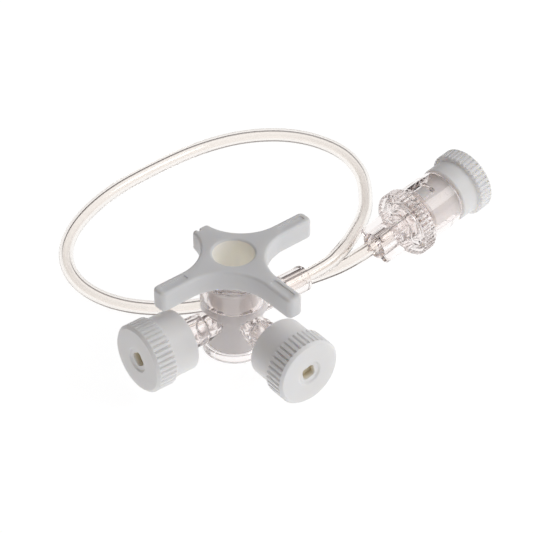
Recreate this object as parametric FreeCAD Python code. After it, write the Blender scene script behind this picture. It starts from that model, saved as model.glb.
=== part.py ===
import FreeCAD, Part

import math
import os

# A three way stopcock with a short extension line, standing on the ring
# under its barrel. All sizes are in millimetres. The origin is on the barrel
# axis, in the plane of the base ring. +Z is up, the tube socket points along
# +X, the in-line lock port along -X and the side lock port along -Y.

# Housing: barrel, base ring and top cup
BASE_RADIUS = 5.6
BASE_HEIGHT = 1.8
BASE_RECESS_RADIUS = 4.1
BASE_RECESS_DEPTH = 0.8
BARREL_RADIUS = 5.0
BARREL_FLARE_BOTTOM = 8.0
CUP_BOTTOM = 9.0
CUP_RADIUS = 5.85
CUP_TOP = 15.4
CUP_BORE_RADIUS = 5.05
CUP_FLOOR = 10.3
CUP_LIP_RADIUS = 4.74
CUP_LIP_HEIGHT = 0.7
EDGE_ROUND = 0.3

# Ports, measured from the barrel axis
PORT_HEIGHT = 7.0
PORT_TIP = 17.3
NECK_RADIUS = 2.7
NECK_ROOT_RADIUS = 2.25
NECK_ROOT_LENGTH = 1.8
PORT_ROOT_DEPTH = 0.3
LUER_MOUTH_RADIUS = 2.15
LUER_DEPTH = 10.5
LUER_TAPER = 0.03
FLUID_BORE_RADIUS = 1.25
LUG_RADIUS = 3.9
LUG_LENGTH = 1.4
LUG_ANGLE = 70.0
SOCKET_TIP = 15.2
SOCKET_RADIUS = 2.35
SOCKET_DEPTH = 4.6
SOCKET_EDGE = 0.45

# Tap: handle, hub and plug in one moulding
PLUG_RADIUS = 3.3
PLUG_CLEARANCE = 0.05
PLUG_BOTTOM = 0.5
PLUG_CHAMFER = 0.3
HUB_RADIUS = 4.5
HUB_BEAD_RADIUS = 4.8
HUB_BEAD_HEIGHT = 0.9
BEAD_GAP = 0.2
THRUST_GAP = 0.1
HANDLE_BOTTOM = 16.0
HANDLE_TOP = 19.85
HANDLE_EDGE = 0.55
ARM_LENGTH = 16.2
ARM_HALF_WIDTH = 1.5
ARM_CORNER = 1.0
ARM_HOLLOW_RADIUS = 8.4
SHORT_ARM_LENGTH = 8.9
SHORT_ARM_HALF_WIDTH = 1.6
SHORT_ARM_CORNER = 0.45
HANDLE_TURN = 1.8
SLOT_WIDTH = 0.5
SLOT_DEPTH = 0.9
HANDLE_HOLE_RADIUS = 3.55
HANDLE_HOLE_BOTTOM = 11.2
HANDLE_HOLE_ROUND = 0.45
MARK_LENGTH = 3.6
MARK_WIDTH = 1.1
MARK_DEPTH = 0.25
MARK_FROM_TIP = 1.5

# Screw caps of the two lock ports, measured from the open end
CAP_LENGTH = 8.95
CAP_FACE = 20.4
CAP_SKIRT_RADIUS = 5.45
CAP_RIM_RADIUS = 6.1
CAP_RIM_LENGTH = 4.15
CAP_BEVEL = 0.35
CAP_BORE_RADIUS = 4.2
CAP_DISH_RADIUS = 2.3
CAP_DISH_DEPTH = 0.3
CAP_SOCKET_SIDE = 2.4
CAP_SOCKET_CORNER = 0.6
CAP_SOCKET_DEPTH = 1.5
CAP_NOSE_LENGTH = 5.0
NOSE_CLEARANCE = 0.25
CAP_FLOOR_GAP = 0.3
INLINE_SOCKET_TURN = 38.0
SIDE_SOCKET_TURN = 12.0

# Grip ribs, shared by the caps and the collar
RIB_COUNT = 40
RIB_DEPTH = 0.38
RIB_SHARE = 0.48
GROOVE_START = 0.6
GROOVE_END = 0.88

# Connector at the free end of the tube. Its axis rises and turns from +X,
# and its ring rests on the surface that the stopcock stands on.
CONNECTOR_X = 39.0
CONNECTOR_Y = 1.55
CONNECTOR_HEADING = 4.6
CONNECTOR_RISE = 7.5
RING_RADIUS = 6.2
RING_LENGTH = 2.8
RING_BEVEL = 0.35
RING_FLOOR_GAP = 0.03
COLLAR_RADIUS = 5.35
COLLAR_STEP = 8.2
COLLAR_STEP_LENGTH = 0.15
COLLAR_LIP_RADIUS = 5.1
COLLAR_LIP_BEVEL = 0.2
COLLAR_LENGTH = 10.4
COLLAR_BORE_RADIUS = 4.2
COLLAR_BACK_RECESS_RADIUS = 4.7
COLLAR_BACK_RECESS = 0.9
COLLAR_HOLE_RADIUS = 3.2
COLLAR_WALL_FRONT = 2.4
WINDOW_START = 4.0
WINDOW_LENGTH = 2.9
WINDOW_ANGLE = 46.0
WINDOW_TURN = 183.0
HUB_LENGTH = 7.1
HUB_CORE_RADIUS = 2.6
HUB_FIN_RADIUS = 3.75
HUB_FIN_WIDTH = 1.5
HUB_FIN_FRONT = 0.3
HUB_FIN_TURN = 38.0
HUB_FIN_ROUND = 0.3
HUB_FIN_REAR_ROUND = 1.0
HUB_BORE_RADIUS = 0.9
TUBE_SOCKET_DEPTH = 3.5
FLANGE_RADIUS = 3.85
FLANGE_GAP = 0.15
FLANGE_LENGTH = 0.9
CONE_TIP_RADIUS = 1.97
CONE_TIP = 10.9
END_CAP_FACE = 17.4
END_CAP_RIM_LENGTH = 3.2
END_CAP_SKIRT_RADIUS = 5.3
END_CAP_SKIRT_GAP = 0.3
END_CAP_NECK_RADIUS = 3.6
END_CAP_NECK_START = 4.4
END_CAP_LUG_RADIUS = 3.9
END_CAP_WALL = 2.4
CONE_CLEARANCE = 0.3

# Extension tube
TUBE_RADIUS = 1.3
TUBE_BORE_RADIUS = 0.6
TUBE_GLUE_GAP = 0.03
TUBE_LEAD = 4.9
ARC_SHARE = 0.45

# Cutting shapes run this far past the faces that they open
OVERRUN = 1.0

V = FreeCAD.Vector
Z_AXIS = V(0, 0, 1)
CORNER_BOW = 1 - math.sqrt(0.5)


def connector_axis():
    """Unit vector along the connector, from the tube towards its cap."""
    heading = math.radians(CONNECTOR_HEADING)
    rise = math.radians(CONNECTOR_RISE)
    flat = math.cos(rise)
    return V(flat * math.cos(heading), flat * math.sin(heading), math.sin(rise))


def connector_origin():
    """Centre of the ring's back face, with the ring just above the surface."""
    lowest = RING_RADIUS * math.cos(math.radians(CONNECTOR_RISE))
    return V(CONNECTOR_X, CONNECTOR_Y, lowest + RING_FLOOR_GAP)


def on_connector(distance):
    """A point on the connector's axis."""
    return connector_origin() + connector_axis() * distance


# The tube's route: out of the socket, one loop on the surface, under its own
# start and up into the hub. The points between the ends are chosen by hand.
TUBE_ROUTE = [
    V(SOCKET_TIP - SOCKET_DEPTH, 0, PORT_HEIGHT),
    V(20.4, 0, PORT_HEIGHT),
    V(25.2, 1.65, 7.2),
    V(29.7, 4.55, 5.9),
    V(38.0, 10.4, 3.95),
    V(44.0, 17.2, 2.3),
    V(48.4, 23.9, 1.6),
    V(50.0, 31.9, 1.35),
    V(46.6, 40.5, 1.35),
    V(39.0, 46.4, 1.35),
    V(29.2, 48.9, 1.35),
    V(18.4, 48.8, 1.35),
    V(7.5, 47.7, 1.35),
    V(-2.8, 43.7, 1.35),
    V(-10.1, 37.3, 1.35),
    V(-13.0, 28.7, 1.35),
    V(-10.9, 20.0, 1.35),
    V(-4.4, 13.1, 1.35),
    V(4.2, 9.0, 1.35),
    V(13.0, 6.6, 1.4),
    V(20.8, 4.1, 1.9),
    on_connector(-HUB_LENGTH - TUBE_LEAD),
    on_connector(TUBE_SOCKET_DEPTH - HUB_LENGTH),
]


def turned(points, arcs=()):
    """Solid of revolution about Z from radius and height points.

    Each entry of arcs names a segment by its index, and gives the point that
    the segment bows through.
    """
    bows = dict(arcs)
    corners = [V(r, 0, z) for r, z in points]
    edges = []
    for index, start in enumerate(corners):
        end = corners[(index + 1) % len(corners)]
        if index in bows:
            r, z = bows[index]
            edges.append(Part.Arc(start, V(r, 0, z), end).toShape())
        else:
            edges.append(Part.LineSegment(start, end).toShape())
    face = Part.Face(Part.Wire(edges))
    return face.revolve(V(0, 0, 0), Z_AXIS, 360)


def rod(radius, bottom, top):
    """Upright cylinder between two heights."""
    return Part.makeCylinder(radius, top - bottom, V(0, 0, bottom))


def placed(shape, origin, direction):
    """Shape with its own Z axis laid along a direction at an origin."""
    placement = FreeCAD.Placement(origin, FreeCAD.Rotation(Z_AXIS, direction))
    return shape.transformed(placement.toMatrix(), True)


def spun(shape, degrees):
    """Shape turned about Z."""
    copy = shape.copy()
    copy.rotate(V(0, 0, 0), Z_AXIS, degrees)
    return copy


def sector(radius, bottom, top, degrees, middle):
    """Wedge of a cylinder, centred on an angle."""
    wedge = Part.makeCylinder(radius, top - bottom, V(0, 0, bottom), Z_AXIS, degrees)
    return spun(wedge, middle - degrees / 2)


def merged(shape, *others):
    """All the shapes as one solid."""
    return shape.fuse(list(others)).removeSplitter()


def uprights(shape):
    """Straight edges that run along Z."""
    return [e for e in shape.Edges if abs(e.tangentAt(e.FirstParameter).z) > math.sqrt(0.5)]


def ribbed_prism(radius, bottom, top):
    """Prism with a ring of flat-topped grip ribs round it."""
    pitch = 2 * math.pi / RIB_COUNT
    corners = []
    for rib in range(RIB_COUNT):
        for share, depth in ((0, 0), (RIB_SHARE, 0), (GROOVE_START, 1), (GROOVE_END, 1)):
            angle = (rib + share) * pitch
            reach = radius - depth * RIB_DEPTH
            corners.append(V(reach * math.cos(angle), reach * math.sin(angle), bottom))
    face = Part.Face(Part.makePolygon(corners + corners[:1]))
    return face.extrude(V(0, 0, top - bottom))


def rounded_square(side, corner, bottom, top):
    """Upright square prism with round corners."""
    half = side / 2
    block = Part.makeBox(side, side, top - bottom, V(-half, -half, bottom))
    return block.makeFillet(corner, uprights(block))


def luer_radius(mouth_radius, depth):
    """Radius of the conical fitting at a depth inside its mouth."""
    return mouth_radius - LUER_TAPER * depth


def barrel():
    """Barrel, base ring, cup and its lip, without the ports."""
    e = EDGE_ROUND
    c = e * CORNER_BOW
    outline = [
        (0, 0), (BASE_RADIUS - e, 0), (BASE_RADIUS, e), (BASE_RADIUS, BASE_HEIGHT - e),
        (BASE_RADIUS - e, BASE_HEIGHT), (BARREL_RADIUS, BASE_HEIGHT),
        (BARREL_RADIUS, BARREL_FLARE_BOTTOM), (CUP_RADIUS, CUP_BOTTOM),
        (CUP_RADIUS, CUP_TOP - e), (CUP_RADIUS - e, CUP_TOP), (0, CUP_TOP),
    ]
    bows = [
        (1, (BASE_RADIUS - c, c)),
        (3, (BASE_RADIUS - c, BASE_HEIGHT - c)),
        (8, (CUP_RADIUS - c, CUP_TOP - c)),
    ]
    return turned(outline, bows)


def barrel_bores():
    """Space inside the barrel: recess, plug bore, cup and its lip."""
    bore = PLUG_RADIUS + PLUG_CLEARANCE
    lip_bottom = CUP_TOP - CUP_LIP_HEIGHT
    return turned([
        (0, -OVERRUN), (BASE_RECESS_RADIUS, -OVERRUN), (BASE_RECESS_RADIUS, BASE_RECESS_DEPTH),
        (bore, BASE_RECESS_DEPTH), (bore, CUP_FLOOR), (CUP_BORE_RADIUS, CUP_FLOOR),
        (CUP_BORE_RADIUS, lip_bottom), (CUP_LIP_RADIUS, lip_bottom),
        (CUP_LIP_RADIUS, CUP_TOP + OVERRUN), (0, CUP_TOP + OVERRUN),
    ])


def port_root():
    """Distance from the barrel axis at which a port starts, inside the wall."""
    return PLUG_RADIUS + PLUG_CLEARANCE + PORT_ROOT_DEPTH


def lock_port():
    """Conical lock port along Z, narrow at its root, with two lugs."""
    neck = turned([
        (0, port_root()), (NECK_ROOT_RADIUS, port_root()), (NECK_ROOT_RADIUS, BARREL_RADIUS),
        (NECK_RADIUS, BARREL_RADIUS + NECK_ROOT_LENGTH), (NECK_RADIUS, PORT_TIP), (0, PORT_TIP),
    ])
    lugs = [
        sector(LUG_RADIUS, PORT_TIP - LUG_LENGTH, PORT_TIP, LUG_ANGLE, turn)
        for turn in (0, 180)
    ]
    return merged(neck, *lugs)


def lock_port_bore():
    """Tapered bore of a lock port and the fluid hole behind it."""
    end = PORT_TIP - LUER_DEPTH
    inner = luer_radius(LUER_MOUTH_RADIUS, LUER_DEPTH)
    return turned([
        (0, 0), (FLUID_BORE_RADIUS, 0), (FLUID_BORE_RADIUS, end), (inner, end),
        (LUER_MOUTH_RADIUS, PORT_TIP), (LUER_MOUTH_RADIUS, PORT_TIP + OVERRUN),
        (0, PORT_TIP + OVERRUN),
    ])


def tube_port():
    """Socket along Z that the extension tube is bonded into."""
    edge = SOCKET_EDGE
    bow = edge * CORNER_BOW
    return turned(
        [(0, port_root()), (NECK_ROOT_RADIUS, port_root()), (NECK_ROOT_RADIUS, BARREL_RADIUS),
         (SOCKET_RADIUS, BARREL_RADIUS + NECK_ROOT_LENGTH), (SOCKET_RADIUS, SOCKET_TIP - edge),
         (SOCKET_RADIUS - edge, SOCKET_TIP), (0, SOCKET_TIP)],
        [(4, (SOCKET_RADIUS - bow, SOCKET_TIP - bow))],
    )


def tube_port_bore():
    """Tube socket's bore and the narrower fluid hole behind it."""
    floor = SOCKET_TIP - SOCKET_DEPTH
    bore = TUBE_RADIUS + TUBE_GLUE_GAP
    return merged(
        rod(TUBE_BORE_RADIUS, 0, SOCKET_TIP), rod(bore, floor, SOCKET_TIP + OVERRUN),
    )


def on_port(shape, direction):
    """Port shape laid along its direction at the ports' height."""
    return placed(shape, V(0, 0, PORT_HEIGHT), direction)


def housing():
    """Clear body of the stopcock."""
    body = merged(
        barrel(),
        on_port(lock_port(), V(-1, 0, 0)),
        on_port(lock_port(), V(0, -1, 0)),
        on_port(tube_port(), V(1, 0, 0)),
    )
    bores = [
        barrel_bores(),
        on_port(lock_port_bore(), V(-1, 0, 0)),
        on_port(lock_port_bore(), V(0, -1, 0)),
        on_port(tube_port_bore(), V(1, 0, 0)),
    ]
    return body.cut(bores)


def handle_outline():
    """Closed outline of the handle: three long arms and a short one."""
    w, tip, r = ARM_HALF_WIDTH, ARM_LENGTH, ARM_HOLLOW_RADIUS
    c = w + r
    short, s = SHORT_ARM_LENGTH, SHORT_ARM_HALF_WIDTH
    diagonal = c - r * math.sqrt(0.5)
    short_centre_x = s + math.sqrt(r * r - (c - short) ** 2)
    end_angle = math.atan2(short - c, s - short_centre_x)
    bow_angle = (end_angle - math.pi / 2) / 2
    bow = (short_centre_x + r * math.cos(bow_angle), c + r * math.sin(bow_angle))

    def line(a, b):
        return Part.LineSegment(V(*a, 0), V(*b, 0)).toShape()

    def arc(a, through, b):
        return Part.Arc(V(*a, 0), V(*through, 0), V(*b, 0)).toShape()

    return [
        line((-short_centre_x, w), (-tip, w)),
        line((-tip, w), (-tip, -w)),
        line((-tip, -w), (-c, -w)),
        arc((-c, -w), (-diagonal, -diagonal), (-w, -c)),
        line((-w, -c), (-w, -tip)),
        line((-w, -tip), (w, -tip)),
        line((w, -tip), (w, -c)),
        arc((w, -c), (diagonal, -diagonal), (c, -w)),
        line((c, -w), (tip, -w)),
        line((tip, -w), (tip, w)),
        line((tip, w), (short_centre_x, w)),
        arc((short_centre_x, w), bow, (s, short)),
        line((s, short), (-s, short)),
        arc((-s, short), (-bow[0], bow[1]), (-short_centre_x, w)),
    ]


def handle_plate():
    """Handle with round corners and soft edges."""
    face = Part.Face(Part.Wire(handle_outline()))
    plate = face.extrude(V(0, 0, HANDLE_TOP - HANDLE_BOTTOM))
    plate.translate(V(0, 0, HANDLE_BOTTOM))

    def uprights_at(corners):
        places = [V(x, y, HANDLE_BOTTOM) for x, y in corners]
        return [
            e for e in uprights(plate)
            if any(v.Point.isEqual(place, SHORT_ARM_CORNER) for v in e.Vertexes for place in places)
        ]

    w, tip = ARM_HALF_WIDTH, ARM_LENGTH
    long_corners = [(sx * tip, sy * w) for sx in (-1, 1) for sy in (-1, 1)]
    long_corners += [(sx * w, -tip) for sx in (-1, 1)]
    plate = plate.makeFillet(ARM_CORNER, uprights_at(long_corners))
    short_corners = [(sx * SHORT_ARM_HALF_WIDTH, SHORT_ARM_LENGTH) for sx in (-1, 1)]
    plate = plate.makeFillet(SHORT_ARM_CORNER, uprights_at(short_corners))
    rims = [e for e in plate.Edges if e.BoundBox.ZLength < HANDLE_EDGE]
    return plate.makeFillet(HANDLE_EDGE, rims)


def arm_mark():
    """Long recess with round ends, along X at the tip of an arm."""
    outer = ARM_LENGTH - MARK_FROM_TIP - MARK_WIDTH / 2
    inner = ARM_LENGTH - MARK_FROM_TIP - MARK_LENGTH + MARK_WIDTH / 2
    bottom = HANDLE_TOP - MARK_DEPTH
    bar = Part.makeBox(outer - inner, MARK_WIDTH, OVERRUN, V(inner, -MARK_WIDTH / 2, bottom))
    ends = [Part.makeCylinder(MARK_WIDTH / 2, OVERRUN, V(x, 0, bottom)) for x in (inner, outer)]
    return merged(bar, *ends)


def tap():
    """Handle, hub and plug, with the three-way bore in the plug."""
    bead_top = CUP_TOP - CUP_LIP_HEIGHT - BEAD_GAP
    hub_bottom = CUP_FLOOR + THRUST_GAP
    stem = turned([
        (0, PLUG_BOTTOM), (PLUG_RADIUS - PLUG_CHAMFER, PLUG_BOTTOM),
        (PLUG_RADIUS, PLUG_BOTTOM + PLUG_CHAMFER), (PLUG_RADIUS, hub_bottom),
        (HUB_RADIUS, hub_bottom), (HUB_RADIUS, bead_top - HUB_BEAD_HEIGHT),
        (HUB_BEAD_RADIUS, bead_top - HUB_BEAD_HEIGHT / 2), (HUB_BEAD_RADIUS, bead_top),
        (HUB_RADIUS, bead_top), (HUB_RADIUS, HANDLE_TOP - HANDLE_EDGE),
        (0, HANDLE_TOP - HANDLE_EDGE),
    ])
    body = merged(handle_plate(), stem)
    r, e = HANDLE_HOLE_RADIUS, HANDLE_HOLE_ROUND
    bow = e * CORNER_BOW
    hole = turned(
        [(0, HANDLE_HOLE_BOTTOM), (r, HANDLE_HOLE_BOTTOM), (r, HANDLE_TOP - e),
         (r + e, HANDLE_TOP), (r + e, HANDLE_TOP + OVERRUN), (0, HANDLE_TOP + OVERRUN)],
        [(2, (r + bow, HANDLE_TOP - bow))],
    )
    marks = [spun(arm_mark(), turn) for turn in (0, 180, 270)]
    slot = Part.makeBox(
        SLOT_WIDTH, SLOT_DEPTH + OVERRUN, HANDLE_TOP - HANDLE_BOTTOM + 2 * OVERRUN,
        V(-SLOT_WIDTH / 2, SHORT_ARM_LENGTH - SLOT_DEPTH, HANDLE_BOTTOM - OVERRUN),
    )
    ways = [
        on_port(rod(FLUID_BORE_RADIUS, 0, PLUG_RADIUS + OVERRUN), direction)
        for direction in (V(1, 0, 0), V(-1, 0, 0), V(0, -1, 0))
    ]
    return spun(body.cut([hole, slot, *marks, *ways]), HANDLE_TURN)


def cap_head(rim_radius, rim_length, face_height):
    """Ribbed rim of a cap up to its bevelled face, as a solid along Z."""
    start = face_height - rim_length
    ribs = ribbed_prism(rim_radius, start, face_height)
    outside = rim_radius + OVERRUN
    envelope = turned([
        (0, start), (rim_radius - RIB_DEPTH, start), (outside, start + RIB_DEPTH + OVERRUN),
        (outside, face_height - CAP_BEVEL - OVERRUN), (rim_radius - CAP_BEVEL, face_height),
        (0, face_height),
    ])
    return ribs.common(envelope)


def face_recess(face_height, turn):
    """Shallow dish and square key recess in a cap's face."""
    above = face_height + OVERRUN
    dish_floor = face_height - CAP_DISH_DEPTH
    dish = turned([
        (0, dish_floor), (CAP_DISH_RADIUS - CAP_DISH_DEPTH, dish_floor),
        (CAP_DISH_RADIUS, face_height), (CAP_DISH_RADIUS, above), (0, above),
    ])
    key_floor = face_height - CAP_SOCKET_DEPTH
    key = rounded_square(CAP_SOCKET_SIDE, CAP_SOCKET_CORNER, key_floor, above)
    return merged(dish, spun(key, turn))


def port_cap(turn):
    """Screw cap of a lock port, with its open end at zero."""
    mouth_to_port_tip = PORT_TIP - (CAP_FACE - CAP_LENGTH)
    floor = mouth_to_port_tip + CAP_FLOOR_GAP
    rim_start = CAP_LENGTH - CAP_RIM_LENGTH
    skirt = turned([
        (0, 0), (CAP_SKIRT_RADIUS - EDGE_ROUND, 0), (CAP_SKIRT_RADIUS, EDGE_ROUND),
        (CAP_SKIRT_RADIUS, rim_start + OVERRUN), (0, rim_start + OVERRUN),
    ])
    body = merged(skirt, cap_head(CAP_RIM_RADIUS, CAP_RIM_LENGTH, CAP_LENGTH))
    tip = floor - CAP_NOSE_LENGTH
    base_radius = LUER_MOUTH_RADIUS - NOSE_CLEARANCE
    tip_radius = luer_radius(LUER_MOUTH_RADIUS, mouth_to_port_tip - tip) - NOSE_CLEARANCE
    bore = rod(CAP_BORE_RADIUS, -OVERRUN, floor)
    nose = Part.makeCone(tip_radius, base_radius, floor - tip, V(0, 0, tip))
    body = body.cut([bore.cut(nose), face_recess(CAP_LENGTH, turn)])
    return body


def on_port_end(shape, direction):
    """Cap laid on its port."""
    mouth = CAP_FACE - CAP_LENGTH
    return placed(shape, V(0, 0, PORT_HEIGHT) + direction * mouth, direction)


def hub_fins():
    """Two opposite grip fins as one bar, round at its rear corners."""
    start = -HUB_LENGTH
    bar = Part.makeBox(
        2 * HUB_FIN_RADIUS, HUB_FIN_WIDTH, HUB_LENGTH - HUB_FIN_FRONT,
        V(-HUB_FIN_RADIUS, -HUB_FIN_WIDTH / 2, start),
    )
    rear = [
        e for e in bar.Edges
        if e.BoundBox.ZMax < start + HUB_FIN_FRONT and e.BoundBox.YLength > HUB_FIN_WIDTH / 2
    ]
    bar = bar.makeFillet(HUB_FIN_REAR_ROUND, rear)
    corners = [e for e in uprights(bar) if e.BoundBox.ZLength > HUB_LENGTH / 2]
    return bar.makeFillet(HUB_FIN_ROUND, corners)


def luer_hub():
    """Hub that holds the tube, with grip fins, flange and male cone."""
    start = -HUB_LENGTH
    neck_radius = COLLAR_HOLE_RADIUS - CONE_CLEARANCE
    flange_start = COLLAR_WALL_FRONT + FLANGE_GAP
    flange_end = flange_start + FLANGE_LENGTH
    cone_base = CONE_TIP_RADIUS + LUER_TAPER * (CONE_TIP - flange_end)
    edge = HUB_FIN_ROUND
    core = turned([
        (0, start), (HUB_CORE_RADIUS - edge, start), (HUB_CORE_RADIUS, start + edge),
        (HUB_CORE_RADIUS, -HUB_FIN_FRONT), (neck_radius, -HUB_FIN_FRONT),
        (neck_radius, flange_start), (FLANGE_RADIUS, flange_start),
        (FLANGE_RADIUS, flange_end), (cone_base, flange_end),
        (CONE_TIP_RADIUS, CONE_TIP), (0, CONE_TIP),
    ])
    fins = [spun(hub_fins(), HUB_FIN_TURN + turn) for turn in (0, 90)]
    body = merged(core, *fins)
    bores = merged(
        rod(TUBE_RADIUS + TUBE_GLUE_GAP, start - OVERRUN, start + TUBE_SOCKET_DEPTH),
        rod(HUB_BORE_RADIUS, start, CONE_TIP + OVERRUN),
    )
    return body.cut(bores)


def rotating_collar():
    """Collar with a ribbed ring, two long windows and an open front."""
    ring = ribbed_prism(RING_RADIUS, 0, RING_LENGTH)
    outside = RING_RADIUS + OVERRUN
    envelope = turned([
        (0, 0), (RING_RADIUS - RING_BEVEL, 0), (outside, RING_BEVEL + OVERRUN),
        (outside, RING_LENGTH - RING_BEVEL - OVERRUN), (RING_RADIUS - RING_BEVEL, RING_LENGTH),
        (0, RING_LENGTH),
    ])
    b = COLLAR_LIP_BEVEL
    sleeve = turned([
        (0, RING_BEVEL), (COLLAR_RADIUS, RING_BEVEL), (COLLAR_RADIUS, COLLAR_STEP),
        (COLLAR_LIP_RADIUS, COLLAR_STEP + COLLAR_STEP_LENGTH),
        (COLLAR_LIP_RADIUS, COLLAR_LENGTH - b), (COLLAR_LIP_RADIUS - b, COLLAR_LENGTH),
        (0, COLLAR_LENGTH),
    ])
    mouth = COLLAR_LENGTH + OVERRUN
    inside = turned([
        (0, -OVERRUN), (COLLAR_BACK_RECESS_RADIUS, -OVERRUN),
        (COLLAR_BACK_RECESS_RADIUS, COLLAR_BACK_RECESS), (COLLAR_HOLE_RADIUS, COLLAR_BACK_RECESS),
        (COLLAR_HOLE_RADIUS, COLLAR_WALL_FRONT), (COLLAR_BORE_RADIUS, COLLAR_WALL_FRONT),
        (COLLAR_BORE_RADIUS, mouth), (0, mouth),
    ])
    window_end = WINDOW_START + WINDOW_LENGTH
    windows = [
        sector(RING_RADIUS, WINDOW_START, window_end, WINDOW_ANGLE, WINDOW_TURN + turn)
        for turn in (0, 180)
    ]
    return merged(ring.common(envelope), sleeve).cut([inside, *windows])


def end_cap():
    """Cap of the connector, with a lugged neck over the male cone."""
    skirt_start = COLLAR_LENGTH + END_CAP_SKIRT_GAP
    rim_start = END_CAP_FACE - END_CAP_RIM_LENGTH
    floor = END_CAP_FACE - END_CAP_WALL
    e = EDGE_ROUND
    body = turned([
        (0, END_CAP_NECK_START), (END_CAP_NECK_RADIUS, END_CAP_NECK_START),
        (END_CAP_NECK_RADIUS, skirt_start), (END_CAP_SKIRT_RADIUS - e, skirt_start),
        (END_CAP_SKIRT_RADIUS, skirt_start + e), (END_CAP_SKIRT_RADIUS, rim_start + OVERRUN),
        (0, rim_start + OVERRUN),
    ])
    lug_end = END_CAP_NECK_START + LUG_LENGTH
    lugs = [
        sector(END_CAP_LUG_RADIUS, END_CAP_NECK_START, lug_end, LUG_ANGLE, turn)
        for turn in (0, 180)
    ]
    head = cap_head(CAP_RIM_RADIUS, END_CAP_RIM_LENGTH, END_CAP_FACE)
    body = merged(body, head, *lugs)
    mouth = CONE_TIP_RADIUS + LUER_TAPER * (CONE_TIP - END_CAP_NECK_START) + CONE_CLEARANCE
    inner = luer_radius(mouth, CONE_TIP - END_CAP_NECK_START)
    socket = turned([
        (0, END_CAP_NECK_START - OVERRUN), (mouth, END_CAP_NECK_START - OVERRUN),
        (mouth, END_CAP_NECK_START), (inner, CONE_TIP), (inner, floor), (0, floor),
    ])
    return body.cut([socket, face_recess(END_CAP_FACE, SIDE_SOCKET_TURN)])


def on_connector_axis(shape):
    """Connector piece laid along the connector's axis."""
    return placed(shape, connector_origin(), connector_axis())


def rounded_route(points):
    """Straight runs joined by tangent arcs, with the radii of the arcs."""
    edges, radii, start = [], [], points[0]
    for before, corner, after in zip(points, points[1:], points[2:]):
        back, ahead = before - corner, after - corner
        run = min(back.Length, ahead.Length)
        half = (math.pi - back.getAngle(ahead)) / 2
        reach = ARC_SHARE * run
        back.normalize()
        ahead.normalize()
        radius = reach / math.tan(half)
        enter, leave = corner + back * reach, corner + ahead * reach
        inward = back + ahead
        inward.normalize()
        middle = corner + inward * (radius / math.cos(half) - radius)
        edges += [
            Part.LineSegment(start, enter).toShape(),
            Part.Arc(enter, middle, leave).toShape(),
        ]
        radii.append(radius)
        start = leave
    edges.append(Part.LineSegment(start, points[-1]).toShape())
    return Part.Wire(edges), radii


def extension_tube():
    """Hollow tube along its route."""
    path, radii = rounded_route(TUBE_ROUTE)
    direction = TUBE_ROUTE[1] - TUBE_ROUTE[0]
    walls = []
    for radius in (TUBE_RADIUS, TUBE_BORE_RADIUS):
        ring = Part.Wire(Part.makeCircle(radius, TUBE_ROUTE[0], direction))
        walls.append(path.makePipeShell([ring], True, False))
    tube = walls[0].cut(walls[1])
    section = math.pi * (TUBE_RADIUS ** 2 - TUBE_BORE_RADIUS ** 2)
    print("tube arc radii mm:", " ".join(f"{radius:.1f}" for radius in radii))
    print(f"tube length {path.Length:.1f} mm, volume {tube.Volume:.1f}, "
          f"section times length {section * path.Length:.1f}")
    return tube


def build():
    """All the pieces by node name."""
    return {
        "housing": housing(),
        "tap": tap(),
        "inline_cap": on_port_end(port_cap(INLINE_SOCKET_TURN), V(-1, 0, 0)),
        "side_cap": on_port_end(port_cap(SIDE_SOCKET_TURN), V(0, -1, 0)),
        "extension_tube": extension_tube(),
        "luer_hub": on_connector_axis(luer_hub()),
        "rotating_collar": on_connector_axis(rotating_collar()),
        "end_cap": on_connector_axis(end_cap()),
    }


def main():
    """Build every piece and write it as a STEP file."""
    os.makedirs("parts", exist_ok=True)
    for name, shape in build().items():
        solids = shape.Solids
        print(f"{name}: {len(solids)} solid, valid {shape.isValid()}, volume {shape.Volume:.1f}")
        if len(solids) == 1:
            shape = solids[0]
        shape.exportStep(f"parts/{name}.step")


if __name__ == "__main__":
    main()
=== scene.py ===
import logging
import math
from collections.abc import Callable, Sequence
from dataclasses import dataclass, replace
from enum import Enum
from functools import partial

import bmesh
import bpy
from mathutils import Matrix, Vector


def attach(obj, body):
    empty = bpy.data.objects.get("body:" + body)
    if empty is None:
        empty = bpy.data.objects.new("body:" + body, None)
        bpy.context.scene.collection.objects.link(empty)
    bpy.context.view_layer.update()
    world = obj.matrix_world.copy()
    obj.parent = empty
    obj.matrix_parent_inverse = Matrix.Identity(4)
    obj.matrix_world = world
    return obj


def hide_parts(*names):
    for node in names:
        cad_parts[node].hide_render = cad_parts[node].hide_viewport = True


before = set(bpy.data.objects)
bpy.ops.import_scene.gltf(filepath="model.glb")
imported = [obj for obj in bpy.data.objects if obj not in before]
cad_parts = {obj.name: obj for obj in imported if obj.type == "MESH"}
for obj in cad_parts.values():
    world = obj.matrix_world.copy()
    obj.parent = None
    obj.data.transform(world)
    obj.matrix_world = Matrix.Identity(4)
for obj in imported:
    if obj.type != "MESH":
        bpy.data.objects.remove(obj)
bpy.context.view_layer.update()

log = logging.getLogger("stopcock")

# Shapes are made in millimetres and turned to metres when they are published.
MM = 0.001
PHOTO_SIDE = 533

# Columns of a turning, from the widest to the finest bore.
WIDE, MIDDLE, NARROW, FINE = 128, 96, 64, 48

# How far a cutter reaches past the face that it cuts.
BEYOND = 1.0
# Keeps two faces from lying in one plane.
SLIVER = 0.02
# Tolerance when a mesh's points are told apart by their place.
NEAR = 0.1
# Points closer than this are one point, and a radius below ON_AXIS is the axis.
MERGE = 2e-4
ON_AXIS = 1e-6
# A fillet takes at most this share of the side that it ends.
FILLET_SHARE = 0.48

Corner = tuple[float, float, float]
Point2 = tuple[float, float]


class Combine(Enum):
    """How one mesh is combined with another."""

    JOIN = "UNION"
    CUT = "DIFFERENCE"


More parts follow.
